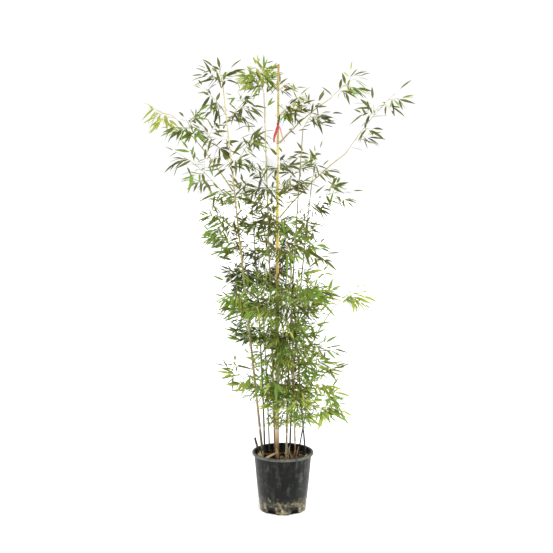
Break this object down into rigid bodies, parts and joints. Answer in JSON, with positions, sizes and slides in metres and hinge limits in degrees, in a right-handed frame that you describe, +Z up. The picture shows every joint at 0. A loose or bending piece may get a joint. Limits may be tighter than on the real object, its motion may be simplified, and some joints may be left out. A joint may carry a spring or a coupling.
{
  "type": "potted bamboo plant",
  "caption": "Clump of slender upright bamboo canes with arching sprays of narrow leaves, standing in a round tapered black nursery pot.",
  "frame": {"origin": "centre of the pot's flat underside, on the floor it stands on", "axes": "+Z up along the height of the clump, -Y towards the front, +X to the right seen from the front"},
  "size_m": [1.2247, 0.7423, 2.0776],
  "materials": {
    "black_plastic": "scuffed matte moulding",
    "compost": "crumbly, damp",
    "golden_culm": "smooth waxy culm",
    "pale_culm": "smooth waxy culm",
    "dark_culm": "smooth culm with paler joints",
    "bough_bark": "smooth green-straw twig bark",
    "foliage": "satin leaves",
    "red_film": "thin satin film",
    "white_card": "plain matt card"
  },
  "bodies": {
    "root": {"pot": "black_plastic", "soil": "compost", "golden_cane": "golden_culm", "left_cane": "pale_culm", "pale_cane": "pale_culm", "brown_cane": "dark_culm", "black_cane": "dark_culm", "dark_cane": "dark_culm", "front_cane": "dark_culm", "right_cane": "dark_culm", "grey_cane": "dark_culm", "right_shoot": "dark_culm", "cut_stub": "dark_culm", "red_ribbon": "red_film", "blank_tag": "white_card", "right_high_bough": "bough_bark", "right_long_bough": "bough_bark", "left_high_bough": "bough_bark", "right_low_bough": "bough_bark", "golden_high_right": "foliage", "golden_upper_front": "foliage", "golden_mid_back": "foliage", "golden_mid_front": "foliage", "golden_low_back": "foliage", "golden_foot_front": "foliage", "left_crown": "foliage", "left_high_left": "foliage", "left_high_right": "foliage", "left_mid_left": "foliage", "left_mid_right": "foliage", "left_reaching": "foliage", "left_low_left": "foliage", "left_foot": "foliage", "left_tuft": "foliage", "left_hanger": "foliage", "pale_crown": "foliage", "pale_high_back": "foliage", "pale_low_front": "foliage", "brown_crown": "foliage", "brown_reaching": "foliage", "brown_low_right": "foliage", "brown_low_front": "foliage", "black_crown": "foliage", "black_mid_back": "foliage", "black_low_back": "foliage", "dark_crown": "foliage", "dark_low_back": "foliage", "front_crown": "foliage", "front_mid": "foliage", "front_low": "foliage", "right_mid": "foliage", "right_low": "foliage", "right_hanger": "foliage", "grey_crown": "foliage", "shoot_crown": "foliage", "right_high_spray": "foliage", "right_long_spray": "foliage", "left_bough_spray": "foliage", "left_high_spray": "foliage", "right_low_spray": "foliage"}
  },
  "joints": []
}
